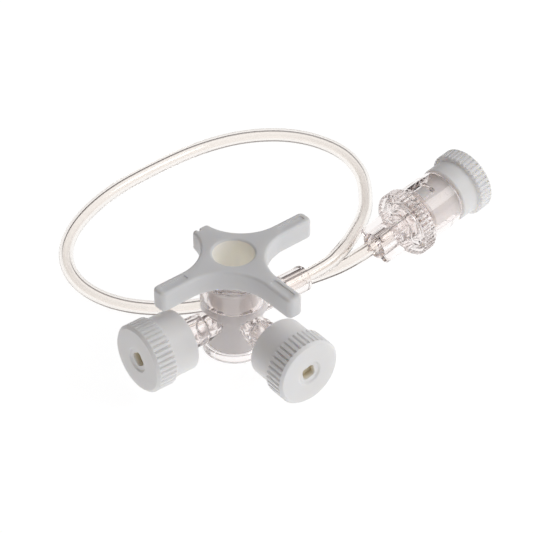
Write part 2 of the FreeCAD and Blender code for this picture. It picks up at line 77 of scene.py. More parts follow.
class Port(Enum):
    """Directions of the ports around the barrel."""

    LINE = (1.0, 0.0, 0.0)
    INLINE = (-1.0, 0.0, 0.0)
    SIDE = (0.0, -1.0, 0.0)


# Shape helpers


def rounded(corners: Sequence[Corner], steps: int = 5) -> list[Point2]:
    """Open outline with rounded corners.

    Args:
        corners: Points as (x, y, fillet radius).
        steps: Straight pieces in each fillet.

    Returns:
        The outline's points.
    """
    points: list[Point2] = []
    last = len(corners) - 1
    for index, (x, y, fillet) in enumerate(corners):
        if fillet <= 0 or index in (0, last):
            points.append((x, y))
            continue
        here = Vector((x, y))
        back = Vector(corners[index - 1][:2]) - here
        ahead = Vector(corners[index + 1][:2]) - here
        half = back.angle(ahead) / 2
        reach = min(fillet / math.tan(half), FILLET_SHARE * back.length, FILLET_SHARE * ahead.length)
        radius = reach * math.tan(half)
        centre = here + (back.normalized() + ahead.normalized()).normalized() * (radius / math.sin(half))
        enter = here + back.normalized() * reach - centre
        leave = here + ahead.normalized() * reach - centre
        start = math.atan2(enter.y, enter.x)
        sweep = (math.atan2(leave.y, leave.x) - start + math.pi) % (2 * math.pi) - math.pi
        for step in range(steps + 1):
            angle = start + sweep * step / steps
            points.append((centre.x + radius * math.cos(angle), centre.y + radius * math.sin(angle)))
    return points


def finished(bm: bmesh.types.BMesh, name: str) -> bpy.types.Mesh:
    """Mesh with outward normals, made from a bmesh that is then freed."""
    bmesh.ops.recalc_face_normals(bm, faces=bm.faces)
    mesh = bpy.data.meshes.new(name)
    bm.to_mesh(mesh)
    bm.free()
    return mesh


def new_object(name: str, data: bpy.types.ID) -> bpy.types.Object:
    """Object in the scene's own collection."""
    item = bpy.data.objects.new(name, data)
    bpy.context.scene.collection.objects.link(item)
    return item


def evaluated(item: bpy.types.Object) -> bpy.types.Mesh:
    """New mesh of an object as its modifiers leave it."""
    graph = bpy.context.evaluated_depsgraph_get()
    return bpy.data.meshes.new_from_object(item.evaluated_get(graph))


def bridge(
    bm: bmesh.types.BMesh, low: Sequence[bmesh.types.BMVert], high: Sequence[bmesh.types.BMVert],
) -> None:
    """Adds the faces between two closed loops with as many points."""
    for index in range(len(low)):
        after = (index + 1) % len(low)
        bm.faces.new((low[index], low[after], high[after], high[index]))


def lathe(name: str, outline: Sequence[Point2], columns: int, ring: bool = False) -> bpy.types.Mesh:
    """Solid of revolution about Z.

    Args:
        name: Name of the mesh.
        outline: Points as (radius, height). Its ends lie on the axis, unless ring is true.
        columns: Faces round the axis.
        ring: Whether the outline closes on itself, clear of the axis.

    Returns:
        A closed mesh.
    """
    bm = bmesh.new()
    turns = [2 * math.pi * column / columns for column in range(columns)]
    rings = []
    for radius, height in outline:
        if radius < ON_AXIS:
            rings.append([bm.verts.new((0, 0, height))])
        else:
            rings.append([bm.verts.new((radius * math.cos(a), radius * math.sin(a), height)) for a in turns])
    followers = rings[1:] + rings[:1] if ring else rings[1:]
    for low, high in zip(rings, followers):
        if len(low) == len(high):
            bridge(bm, low, high)
            continue
        for column in range(columns):
            after = (column + 1) % columns
            if len(low) == 1:
                bm.faces.new((low[0], high[after], high[column]))
            else:
                bm.faces.new((low[column], low[after], high[0]))
    return finished(bm, name)


def rounded_plate(name: str, outline: Sequence[Point2], bottom: float, top: float, edge: float) -> bpy.types.Mesh:
    """Plate of an outline, with round upper and lower edges.

    Args:
        name: Name of the mesh.
        outline: Closed outline, counter-clockwise.
        bottom: Height of the lower face.
        top: Height of the upper face.
        edge: Radius of the edges.

    Returns:
        A closed mesh.
    """
    count = len(outline)
    outward = []
    for index, (x, y) in enumerate(outline):
        before, after = outline[index - 1], outline[(index + 1) % count]
        into = Vector((y - before[1], before[0] - x)).normalized()
        away = Vector((after[1] - y, x - after[0])).normalized()
        outward.append((into + away).normalized())
    steps = 6
    levels = []
    for step in range(steps + 1):
        angle = math.pi / 2 * step / steps
        levels.append((edge * (1 - math.sin(angle)), bottom + edge * (1 - math.cos(angle))))
    levels += [(inset, bottom + top - height) for inset, height in reversed(levels)]
    bm = bmesh.new()
    rings = []
    for inset, height in levels:
        rings.append([
            bm.verts.new((x - normal.x * inset, y - normal.y * inset, height))
            for (x, y), normal in zip(outline, outward)
        ])
    for low, high in zip(rings, rings[1:]):
        bridge(bm, low, high)
    bm.faces.new(list(reversed(rings[0])))
    bm.faces.new(rings[-1])
    return finished(bm, name)


def prism(name: str, outline: Sequence[Point2], bottom: float, top: float) -> bpy.types.Mesh:
    """Upright prism on a closed outline."""
    bm = bmesh.new()
    low = [bm.verts.new((x, y, bottom)) for x, y in outline]
    high = [bm.verts.new((x, y, top)) for x, y in outline]
    bridge(bm, low, high)
    bm.faces.new(list(reversed(low)))
    bm.faces.new(high)
    return finished(bm, name)


def sector(name: str, radii: Point2, degrees: float, span: Point2, steps: int) -> bpy.types.Mesh:
    """Upright part of a ring, centred on +X.

    Args:
        name: Name of the mesh.
        radii: Inner and outer radius.
        degrees: Angle that it takes up.
        span: Lower and upper height.
        steps: Straight pieces in each arc.

    Returns:
        A closed mesh.
    """
    inner, outer = radii
    half = math.radians(degrees / 2)
    arc = [half * (2 * step / steps - 1) for step in range(steps + 1)]
    outline = [(outer * math.cos(a), outer * math.sin(a)) for a in arc]
    outline += [(inner * math.cos(a), inner * math.sin(a)) for a in reversed(arc)]
    return prism(name, outline, *span)


def rounded_box_outline(length: float, width: float, corner: float, steps: int = 6) -> list[Point2]:
    """Closed outline of a rectangle with round corners, centred on the origin."""
    points: list[Point2] = []
    for sx, sy, start in ((1, 1, 0.0), (-1, 1, 0.5), (-1, -1, 1.0), (1, -1, 1.5)):
        cx, cy = sx * (length / 2 - corner), sy * (width / 2 - corner)
        for step in range(steps + 1):
            angle = math.pi * (start + 0.5 * step / steps)
            points.append((cx + corner * math.cos(angle), cy + corner * math.sin(angle)))
    return points


def moved(mesh: bpy.types.Mesh, matrix: Matrix) -> bpy.types.Mesh:
    """The mesh after a matrix is applied to it."""
    mesh.transform(matrix)
    return mesh


def along(origin: Sequence[float], direction: Sequence[float]) -> Matrix:
    """Matrix that lays Z along a direction at an origin, by the shortest turn."""
    turn = Vector((0, 0, 1)).rotation_difference(Vector(direction))
    return Matrix.Translation(Vector(origin)) @ turn.to_matrix().to_4x4()


def spin(degrees: float) -> Matrix:
    """Matrix that turns about Z."""
    return Matrix.Rotation(math.radians(degrees), 4, "Z")


def combined(base: bpy.types.Mesh, tools: Sequence[bpy.types.Mesh], how: Combine) -> bpy.types.Mesh:
    """Base mesh with every tool mesh joined to it or cut from it.

    Args:
        base: Closed mesh.
        tools: Closed meshes.
        how: Whether the tools are joined or cut.

    Returns:
        A new mesh. The given ones are removed.
    """
    holder = new_object("base", base)
    helpers = []
    for tool in tools:
        helper = new_object("tool", tool)
        modifier = holder.modifiers.new("combine", "BOOLEAN")
        modifier.operation = how.value
        modifier.solver = "EXACT"
        modifier.object = helper
        helpers.append(helper)
    result = evaluated(holder)
    for item in (holder, *helpers):
        mesh = item.data
        bpy.data.objects.remove(item)
        bpy.data.meshes.remove(mesh)
    return result


def smoothed(mesh: bpy.types.Mesh, sharp_degrees: float) -> bpy.types.Mesh:
    """Mesh with doubles merged and smooth shading up to a crease angle."""
    bm = bmesh.new()
    bm.from_mesh(mesh)
    bmesh.ops.remove_doubles(bm, verts=bm.verts, dist=MERGE)
    bmesh.ops.dissolve_degenerate(bm, edges=bm.edges, dist=MERGE / 2)
    limit = math.radians(sharp_degrees)
    for face in bm.faces:
        face.smooth = True
    for edge in bm.edges:
        edge.smooth = len(edge.link_faces) == 2 and edge.calc_face_angle(0.0) < limit
    bm.to_mesh(mesh)
    bm.free()
    return mesh


def mark_zone(mesh: bpy.types.Mesh, inside: Callable[[Vector], bool]) -> None:
    """Writes the point attribute that tells a finish where its grip is, and where its recess takes a painted
    colour and glow.
    """
    layer = mesh.attributes.new("zone", "FLOAT", "POINT")
    layer.data.foreach_set("value", [1.0 if inside(v.co) else 0.0 for v in mesh.vertices])


def publish(
    mesh: bpy.types.Mesh,
    name: str,
    node: str,
    body: str,
    material: bpy.types.Material,
    placement: Matrix,
    sharp_degrees: float = 32.0,
) -> bpy.types.Object:
    """Turns a mesh in millimetres into a finished piece of the frame.

    Args:
        mesh: The piece in its own frame.
        name: Name of the piece.
        node: CAD node and material slot that it stands for.
        body: CAD body that it rides on.
        material: Its finish.
        placement: From the piece's own frame to the shared one, in millimetres.
        sharp_degrees: Crease angle of its shading.

    Returns:
        The piece.
    """
    smoothed(mesh, sharp_degrees)
    mesh.transform(Matrix.Scale(MM, 4) @ placement)
    mesh.materials.clear()
    mesh.materials.append(material)
    piece = new_object(name, mesh)
    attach(piece, body)
    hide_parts(node)
    mesh.calc_loop_triangles()
    log.info("%s: %d triangles, rides on %s", name, len(mesh.loop_triangles), body)
    return piece


# Node helpers


def linear(code: str) -> tuple[float, float, float, float]:
    """Linear colour of an sRGB hex code."""
    values = [int(code[i:i + 2], 16) / 255 for i in (1, 3, 5)]
    levels = [v / 12.92 if v <= 0.04045 else ((v + 0.055) / 1.055) ** 2.4 for v in values]
    return (levels[0], levels[1], levels[2], 1.0)


def add(tree: bpy.types.NodeTree, kind: str, inputs: dict | None = None, **settings: object) -> bpy.types.Node:
    """Adds a node.

    Args:
        tree: Node tree to add to.
        kind: The node's type name.
        inputs: Values or output sockets, by input name or number.
        settings: The node's own properties.

    Returns:
        The node.
    """
    node = tree.nodes.new(kind)
    for key, value in settings.items():
        setattr(node, key, value)
    for key, value in (inputs or {}).items():
        if isinstance(value, bpy.types.NodeSocket):
            tree.links.new(value, node.inputs[key])
        else:
            node.inputs[key].default_value = value
    return node


def maths(tree: bpy.types.NodeTree, operation: str, *values: object) -> bpy.types.NodeSocket:
    """Result of a Math node on values or sockets."""
    return add(tree, "ShaderNodeMath", dict(enumerate(values)), operation=operation).outputs[0]


def blend(
    tree: bpy.types.NodeTree, share: bpy.types.NodeSocket, first: object, second: object,
) -> bpy.types.NodeSocket:
    """Colour between two colours or sockets."""
    return add(tree, "ShaderNodeMix", {0: share, 6: first, 7: second}, data_type="RGBA").outputs[2]


def new_material(name: str) -> tuple[bpy.types.Material, bpy.types.NodeTree]:
    """Empty node material and its tree."""
    material = bpy.data.materials.new(name)
    material.use_nodes = True
    material.node_tree.nodes.clear()
    return material, material.node_tree


def pattern(tree: bpy.types.NodeTree, size_mm: float, detail: float = 2.0) -> bpy.types.NodeSocket:
    """Noise on the object's coordinates, with features of a size in millimetres."""
    place = add(tree, "ShaderNodeTexCoord")
    noise = add(tree, "ShaderNodeTexNoise", {
        "Vector": place.outputs["Object"], "Scale": 1 / (size_mm * MM), "Detail": detail, "Roughness": 0.5,
    })
    return noise.outputs["Fac"]


# Finishes


@dataclass(frozen=True)
class WhitePolyethylene:
    """Injection-moulded polyethylene: waxy white, with light that seeps into its walls; its recesses take a
    painted colour and a painted glow.
    """

    name: str
    face: str = "#E9E9EA"
    shade: str = "#E2E1E0"
    # Painted light: the default recess colour, a brighter cream than the face, stands in for light in the tap's
    # well.
    recess: str = "#FAF7F0"
    # Painted glow in the recess, though nothing there is a lamp.
    painted_recess_glow: float = 0.05
    smoothest: float = 0.37
    roughest: float = 0.48
    glow_mm: float = 1.6
    cloud_mm: float = 6.0
    grain_mm: float = 0.22
    grain_height_mm: float = 0.006
    grain_strength: float = 0.6
    ior: float = 1.51
    glow_weight: float = 0.6
    glow_depths: tuple[float, float, float] = (1.0, 0.9, 0.75)

    def material(self) -> bpy.types.Material:
        """Builds the finish."""
        material, tree = new_material(self.name)
        cloud = pattern(tree, self.cloud_mm)
        base = blend(tree, cloud, linear(self.face), linear(self.shade))
        # The zone points take the recess colour in place of the face colour; it is painted light in the tap's well
        # and painted shade in the caps' key recesses.
        inside = add(tree, "ShaderNodeAttribute", attribute_name="zone").outputs["Fac"]
        colour = blend(tree, inside, base, linear(self.recess))
        grain = pattern(tree, self.grain_mm, 3.0)
        bump = add(tree, "ShaderNodeBump", {
            "Height": grain, "Strength": self.grain_strength, "Distance": self.grain_height_mm * MM,
        })
        gloss = add(tree, "ShaderNodeMapRange", {
            "Value": cloud, "To Min": self.smoothest, "To Max": self.roughest,
        })
        # The recess's emission is a painted glow.
        shader = add(tree, "ShaderNodeBsdfPrincipled", {
            "Base Color": colour, "Roughness": gloss.outputs[0], "Normal": bump.outputs[0],
            "Emission Color": linear(self.recess),
            "Emission Strength": maths(tree, "MULTIPLY", inside, self.painted_recess_glow),
            "IOR": self.ior, "Subsurface Weight": self.glow_weight, "Subsurface Scale": self.glow_mm * MM,
            "Subsurface Radius": self.glow_depths,
        })
        add(tree, "ShaderNodeOutputMaterial", {"Surface": shader.outputs[0]})
        return material


@dataclass(frozen=True)
class ClearPlastic:
    """Transparent moulded plastic: bright refraction, a warm tint that deepens with the light's path.

    A ribbed grip is a little rougher, which blurs what lies behind it.
    """

    name: str
    ior: float
    tint: str
    absorbs: str
    density_per_mm: float
    roughness: float = 0.03
    roughness_spread: float = 0.4
    ripple_mm: float = 2.4
    ripple_height_mm: float = 0.01
    ripple_strength: float = 0.5
    grip_roughness: float = 0.0

    def material(self) -> bpy.types.Material:
        """Builds the finish."""
        material, tree = new_material(self.name)
        ripple = pattern(tree, self.ripple_mm)
        grip = add(tree, "ShaderNodeAttribute", attribute_name="zone").outputs["Fac"]
        bump = add(tree, "ShaderNodeBump", {
            "Height": ripple, "Strength": self.ripple_strength, "Distance": self.ripple_height_mm * MM,
        })
        gloss = add(tree, "ShaderNodeMapRange", {
            "Value": ripple, "To Min": (1 - self.roughness_spread) * self.roughness,
            "To Max": (1 + self.roughness_spread) * self.roughness,
        })
        satin = maths(tree, "MULTIPLY_ADD", grip, self.grip_roughness, gloss.outputs[0])
        shader = add(tree, "ShaderNodeBsdfPrincipled", {
            "Base Color": linear(self.tint), "Roughness": satin, "Normal": bump.outputs[0],
            "IOR": self.ior, "Transmission Weight": 1.0,
        })
        rays = add(tree, "ShaderNodeLightPath").outputs
        through = add(tree, "ShaderNodeBsdfTransparent", {"Color": linear(self.tint)})
        lit = add(tree, "ShaderNodeMixShader", {
            0: rays["Is Diffuse Ray"], 1: shader.outputs[0], 2: through.outputs[0],
        })
        surface = add(tree, "ShaderNodeMixShader", {
            0: rays["Is Shadow Ray"], 1: lit.outputs[0], 2: through.outputs[0],
        })
        depth = add(tree, "ShaderNodeVolumeAbsorption", {
            "Color": linear(self.absorbs), "Density": self.density_per_mm / MM,
        })
        add(tree, "ShaderNodeOutputMaterial", {"Surface": surface.outputs[0], "Volume": depth.outputs[0]})
        return material


# Grip ribs


@dataclass(frozen=True)
class GripRibs:
    """Grooves cut round a rim, which leave flat ribs with sloping flanks between them."""

    count: int = 40
    depth: float = 0.48
    groove_start: float = 0.54
    groove_end: float = 0.94
    flank: float = 0.08
    columns_each: int = 12

    @property
    def columns(self) -> int:
        """Columns of a lathe whose edges fall on the grooves."""
        return self.count * self.columns_each

    def tree(self) -> bpy.types.NodeTree:
        """Builds the Geometry Nodes tree, or returns it when it is there."""
        known = bpy.data.node_groups.get("grip_ribs")
        if known:
            return known
        tree = bpy.data.node_groups.new("grip_ribs", "GeometryNodeTree")
        face = tree.interface
        face.new_socket("Geometry", in_out="INPUT", socket_type="NodeSocketGeometry")
        for name in (
            "Rib Count", "Rim Radius", "Groove Depth", "Groove Start", "Groove End", "Flank",
            "Rim Start", "Rim End",
        ):
            face.new_socket(name, in_out="INPUT", socket_type="NodeSocketFloat")
        face.new_socket("Finish", in_out="INPUT", socket_type="NodeSocketMaterial")
        face.new_socket("Geometry", in_out="OUTPUT", socket_type="NodeSocketGeometry")
        given = add(tree, "NodeGroupInput").outputs
        calc = partial(maths, tree)
        where = add(tree, "ShaderNodeSeparateXYZ", {0: add(tree, "GeometryNodeInputPosition").outputs[0]}).outputs
        turn = calc("DIVIDE", calc("ARCTAN2", where[1], where[0]), 2 * math.pi)
        share = calc("FRACT", calc("MULTIPLY", turn, given["Rib Count"]))
        down = calc("DIVIDE", calc("SUBTRACT", share, given["Groove Start"]), given["Flank"])
        up = calc("DIVIDE", calc("SUBTRACT", given["Groove End"], share), given["Flank"])
        groove = calc("MAXIMUM", calc("MINIMUM", calc("MINIMUM", down, up), 1.0), 0.0)
        zone = calc(
            "MULTIPLY", calc("GREATER_THAN", where[2], given["Rim Start"]),
            calc("LESS_THAN", where[2], given["Rim End"]),
        )
        squares = [calc("MULTIPLY", where[axis], where[axis]) for axis in (0, 1)]
        radius = calc("SQRT", calc("ADD", *squares))
        floor = calc("MINIMUM", radius, calc("SUBTRACT", given["Rim Radius"], given["Groove Depth"]))
        shrink = calc("DIVIDE", calc("SUBTRACT", radius, floor), calc("MAXIMUM", radius, ON_AXIS))
        scale = calc("SUBTRACT", 1.0, calc("MULTIPLY", shrink, calc("MULTIPLY", groove, zone)))
        place = add(tree, "ShaderNodeCombineXYZ", {
            0: calc("MULTIPLY", where[0], scale), 1: calc("MULTIPLY", where[1], scale), 2: where[2],
        })
        cut = add(tree, "GeometryNodeSetPosition", {"Geometry": given["Geometry"], "Position": place.outputs[0]})
        real = add(tree, "GeometryNodeRealizeInstances", {"Geometry": cut.outputs[0]})
        dressed = add(tree, "GeometryNodeSetMaterial", {"Geometry": real.outputs[0], "Material": given["Finish"]})
        add(tree, "NodeGroupOutput", {0: dressed.outputs[0]})
        return tree

    def cut(
        self, mesh: bpy.types.Mesh, rim_radius: float, start: float, end: float, material: bpy.types.Material,
    ) -> bpy.types.Mesh:
        """Cuts the grooves into a lathed mesh.

        Args:
            mesh: Lathe with this class's number of columns.
            rim_radius: Radius over the ribs.
            start: Height where the grooves start.
            end: Height where they end.
            material: Finish of the result.

        Returns:
            A new mesh. The given one is removed.
        """
        holder = new_object("ribbed", mesh)
        modifier = holder.modifiers.new("grip_ribs", "NODES")
        modifier.node_group = self.tree()
        values = {
            "Rib Count": float(self.count), "Rim Radius": rim_radius, "Groove Depth": self.depth,
            "Groove Start": self.groove_start, "Groove End": self.groove_end, "Flank": self.flank,
            "Rim Start": start, "Rim End": end, "Finish": material,
        }
        for item in modifier.node_group.interface.items_tree:
            if item.in_out == "INPUT" and item.name in values:
                modifier[item.identifier] = values[item.name]
        result = evaluated(holder)
        bpy.data.objects.remove(holder)
        bpy.data.meshes.remove(mesh)
        return result


# The stopcock's own pieces


@dataclass
class Housing:
    """Clear barrel with a base ring, a cup round the tap's hub and three ports."""

    finish: ClearPlastic
    base_radius: float = 5.6
    base_height: float = 1.8
    recess_radius: float = 4.1
    recess_depth: float = 0.8
    barrel_radius: float = 5.0
    flare_bottom: float = 8.0
    cup_bottom: float = 9.0
    cup_radius: float = 5.85
    cup_top: float = 15.4
    cup_bore: float = 5.05
    cup_floor: float = 10.3
    lip_radius: float = 4.74
    lip_height: float = 0.7
    plug_bore: float = 3.27
    port_height: float = 7.0
    port_tip: float = 17.3
    neck_radius: float = 2.7
    neck_root: float = 2.25
    neck_root_end: float = 6.8
    root_depth: float = 0.3
    root_straight: float = 0.2
    bore_mouth: float = 2.15
    bore_depth: float = 10.5
    taper: float = 0.03
    fluid_bore: float = 1.25
    lug_radius: float = 3.9
    lug_length: float = 1.4
    lug_degrees: float = 70.0
    lug_root: float = 0.4
    socket_tip: float = 15.2
    socket_radius: float = 2.35
    socket_depth: float = 4.6
    socket_bore: float = 1.33
    tube_bore: float = 0.55

    def barrel(self) -> bpy.types.Mesh:
        """Barrel, base ring and cup as one solid turning."""
        return lathe("barrel", rounded([
            (0, 0, 0), (self.base_radius, 0, 0.3), (self.base_radius, self.base_height, 0.35),
            (self.barrel_radius, self.base_height, 0.3), (self.barrel_radius, self.flare_bottom, 1.2),
            (self.cup_radius, self.cup_bottom, 0.5), (self.cup_radius, self.cup_top, 0.25), (0, self.cup_top, 0),
        ]), WIDE)

    def barrel_bores(self) -> bpy.types.Mesh:
        """Space inside the barrel and the cup."""
        lip = self.cup_top - self.lip_height
        return lathe("barrel_bores", rounded([
            (0, -BEYOND, 0), (self.recess_radius, -BEYOND, 0), (self.recess_radius, self.recess_depth, 0.15),
            (self.plug_bore, self.recess_depth, 0.1), (self.plug_bore, self.cup_floor, 0.2),
            (self.cup_bore, self.cup_floor, 0.3), (self.cup_bore, lip, 0.1), (self.lip_radius, lip, 0.1),
            (self.lip_radius, self.cup_top + BEYOND, 0), (0, self.cup_top + BEYOND, 0),
        ]), WIDE)

    def lock_port(self) -> bpy.types.Mesh:
        """Lock port along Z, flared at its root, with two lugs at its tip."""
        root = self.plug_bore + self.root_depth
        neck = lathe("neck", rounded([
            (0, root, 0), (self.neck_root, root, 0),
            (self.neck_root, self.barrel_radius + self.root_straight, 1.0),
            (self.neck_radius, self.neck_root_end, 1.0), (self.neck_radius, self.port_tip, 0.15),
            (0, self.port_tip, 0),
        ]), MIDDLE)
        lugs = [self.lug(turn) for turn in (0.0, 180.0)]
        return combined(neck, lugs, Combine.JOIN)

    def lug(self, middle: float) -> bpy.types.Mesh:
        """One lock lug, centred on an angle."""
        radii = (self.neck_radius - self.lug_root, self.lug_radius)
        span = (self.port_tip - self.lug_length, self.port_tip - SLIVER)
        return moved(sector("lug", radii, self.lug_degrees, span, 12), spin(middle))

    def lock_bore(self) -> bpy.types.Mesh:
        """Tapered bore of a lock port and the fluid hole behind it."""
        end = self.port_tip - self.bore_depth
        inner = self.bore_mouth - self.taper * self.bore_depth
        return lathe("lock_bore", rounded([
            (0, 0, 0), (self.fluid_bore, 0, 0), (self.fluid_bore, end, 0.2), (inner, end, 0.4),
            (self.bore_mouth, self.port_tip, 0), (self.bore_mouth, self.port_tip + BEYOND, 0),
            (0, self.port_tip + BEYOND, 0),
        ]), MIDDLE)

    def tube_port(self) -> bpy.types.Mesh:
        """Socket along Z for the extension tube."""
        root = self.plug_bore + self.root_depth
        return lathe("tube_port", rounded([
            (0, root, 0), (self.neck_root, root, 0),
            (self.neck_root, self.barrel_radius + self.root_straight, 0.5),
            (self.socket_radius, self.neck_root_end, 0.5), (self.socket_radius, self.socket_tip, 0.18),
            (0, self.socket_tip, 0),
        ]), MIDDLE)

    def tube_bores(self) -> bpy.types.Mesh:
        """Tube socket and the narrower fluid hole behind it."""
        floor = self.socket_tip - self.socket_depth
        return lathe("tube_bores", rounded([
            (0, 0, 0), (self.tube_bore, 0, 0), (self.tube_bore, floor, 0), (self.socket_bore, floor, 0),
            (self.socket_bore, self.socket_tip, 0), (self.socket_bore, self.socket_tip + BEYOND, 0),
            (0, self.socket_tip + BEYOND, 0),
        ]), NARROW)

    def on_port(self, mesh: bpy.types.Mesh, port: Port) -> bpy.types.Mesh:
        """Port shape laid along its direction."""
        return moved(mesh, along((0, 0, self.port_height), port.value))

    def build(self) -> bpy.types.Object:
        """Builds and dresses the housing."""
        solid = combined(self.barrel(), [
            self.on_port(self.lock_port(), Port.INLINE), self.on_port(self.lock_port(), Port.SIDE),
            self.on_port(self.tube_port(), Port.LINE),
        ], Combine.JOIN)
        hollow = combined(solid, [
            self.barrel_bores(), self.on_port(self.lock_bore(), Port.INLINE),
            self.on_port(self.lock_bore(), Port.SIDE), self.on_port(self.tube_bores(), Port.LINE),
        ], Combine.CUT)
        return publish(hollow, "clear_housing", "housing", "stopcock_body", self.finish.material(), Matrix())


@dataclass
class Tap:
    """White tap: a handle with three long arms and a notched short one, a hub and the plug."""

    finish: WhitePolyethylene
    plug_radius: float = 3.3
    plug_bottom: float = 0.5
    hub_bottom: float = 10.4
    hub_radius: float = 4.5
    bead_radius: float = 4.8
    bead_top: float = 14.5
    bead_height: float = 0.9
    handle_bottom: float = 16.0
    handle_top: float = 19.85
    edge: float = 0.55
    arm_length: float = 16.2
    arm_half_width: float = 1.5
    arm_corner: float = 1.0
    hollow_radius: float = 8.4
    short_length: float = 9.1
    short_half_width: float = 1.6
    turn: float = 1.8
    short_corner: float = 0.6
    notch_at: float = -0.45
    notch_width: float = 0.85
    notch_depth: float = 0.95
    hole_radius: float = 3.55
    hole_bottom: float = 11.2
    hole_round: float = 0.45
    mark_length: float = 5.2
    mark_width: float = 1.2
    mark_corner: float = 0.4
    mark_depth: float = 0.2
    mark_from_tip: float = 0.95
    way_radius: float = 1.25
    way_height: float = 7.0

    def hollow(self, centre: Point2, start: float, end: float, steps: int = 28) -> list[Corner]:
        """Points of a concave side, as corners without a fillet."""
        cx, cy = centre
        angles = [math.radians(start + (end - start) * step / steps) for step in range(steps + 1)]
        return [(cx + self.hollow_radius * math.cos(a), cy + self.hollow_radius * math.sin(a), 0) for a in angles]

    def outline(self) -> list[Point2]:
        """Closed outline of the handle, counter-clockwise."""
        w, tip, r = self.arm_half_width, self.arm_length, self.hollow_radius
        c = w + r
        short, s, corner = self.short_length, self.short_half_width, self.short_corner
        short_x = s + math.sqrt(r * r - (c - short) ** 2)
        lean = math.degrees(math.asin((c - short) / r))
        corners: list[Corner] = [(0, short, 0), (-s, short, corner)]
        corners += self.hollow((-short_x, c), -lean, -90)[3:]
        corners += [(-tip, w, self.arm_corner), (-tip, -w, self.arm_corner)]
        corners += self.hollow((-c, -c), 90, 0)
        corners += [(-w, -tip, self.arm_corner), (w, -tip, self.arm_corner)]
        corners += self.hollow((c, -c), 180, 90)
        corners += [(tip, -w, self.arm_corner), (tip, w, self.arm_corner)]
        corners += self.hollow((short_x, c), 270, 180 + lean)[:-3]
        corners += [(s, short, corner), (0, short, 0)]
        return rounded(corners)[:-1]

    def stem(self) -> bpy.types.Mesh:
        """Hub and plug as one turning, up into the handle."""
        bead = self.bead_top - self.bead_height
        return lathe("stem", rounded([
            (0, self.plug_bottom, 0), (self.plug_radius, self.plug_bottom, 0.3),
            (self.plug_radius, self.hub_bottom, 0), (self.hub_radius, self.hub_bottom, 0.3),
            (self.hub_radius, bead, 0.2), (self.bead_radius, bead + self.bead_height / 2, 0.1),
            (self.bead_radius, self.bead_top, 0.1), (self.hub_radius, self.bead_top, 0.2),
            (self.hub_radius, self.handle_bottom + BEYOND, 0), (0, self.handle_bottom + BEYOND, 0),
        ]), WIDE)

    def hole(self) -> bpy.types.Mesh:
        """Round well in the middle of the handle, with a rolled rim."""
        r, rim, top = self.hole_radius, self.hole_round, self.handle_top
        roll = [
            (r + rim * (1 - math.cos(a)), top - rim * (1 - math.sin(a)))
            for a in [math.pi / 2 * step / 6 for step in range(7)]
        ]
        outline = rounded([(0, self.hole_bottom, 0), (r, self.hole_bottom, 0.6), (r, top - rim, 0)])
        return lathe("hole", outline[:-1] + roll + [(r + rim, top + BEYOND), (0, top + BEYOND)], WIDE)

    def notch(self) -> bpy.types.Mesh:
        """Round notch in the end of the short arm."""
        outline = rounded_box_outline(self.notch_width, 2 * self.notch_depth, 0.95 * self.notch_width / 2)
        bar = prism("notch", outline, self.handle_bottom - BEYOND, self.handle_top + BEYOND)
        return moved(bar, Matrix.Translation((self.notch_at, self.short_length, 0)))

    def mark(self, turn: float) -> bpy.types.Mesh:
        """Long shallow recess near the tip of an arm."""
        middle = self.arm_length - self.mark_from_tip - self.mark_length / 2
        outline = rounded_box_outline(self.mark_length, self.mark_width, self.mark_corner)
        bar = prism("mark", outline, self.handle_top - self.mark_depth, self.handle_top + BEYOND)
        return moved(bar, spin(turn) @ Matrix.Translation((middle, 0, 0)))

    def ways(self) -> list[bpy.types.Mesh]:
        """Three fluid ways through the plug."""
        bores = []
        for port in Port:
            bore = lathe("way", [(0, 0), (self.way_radius, 0), (self.way_radius, 5), (0, 5)], FINE)
            bores.append(moved(bore, along((0, 0, self.way_height), port.value)))
        return bores

    def build(self) -> bpy.types.Object:
        """Builds and dresses the tap."""
        plate = rounded_plate("plate", self.outline(), self.handle_bottom, self.handle_top, self.edge)
        solid = combined(plate, [self.stem()], Combine.JOIN)
        marks = [self.mark(turn) for turn in (0.0, 180.0, 270.0)]
        mesh = combined(solid, [self.hole(), self.notch(), *marks, *self.ways()], Combine.CUT)
        # The hole's walls are marked for painted light: a brighter cream colour and a painted glow.
        reach = self.hole_radius + NEAR / 2
        mark_zone(mesh, lambda p: p.z > self.hole_bottom - NEAR and math.hypot(p.x, p.y) < reach)
        return publish(mesh, "white_tap", "tap", "tap", self.finish.material(), spin(self.turn))


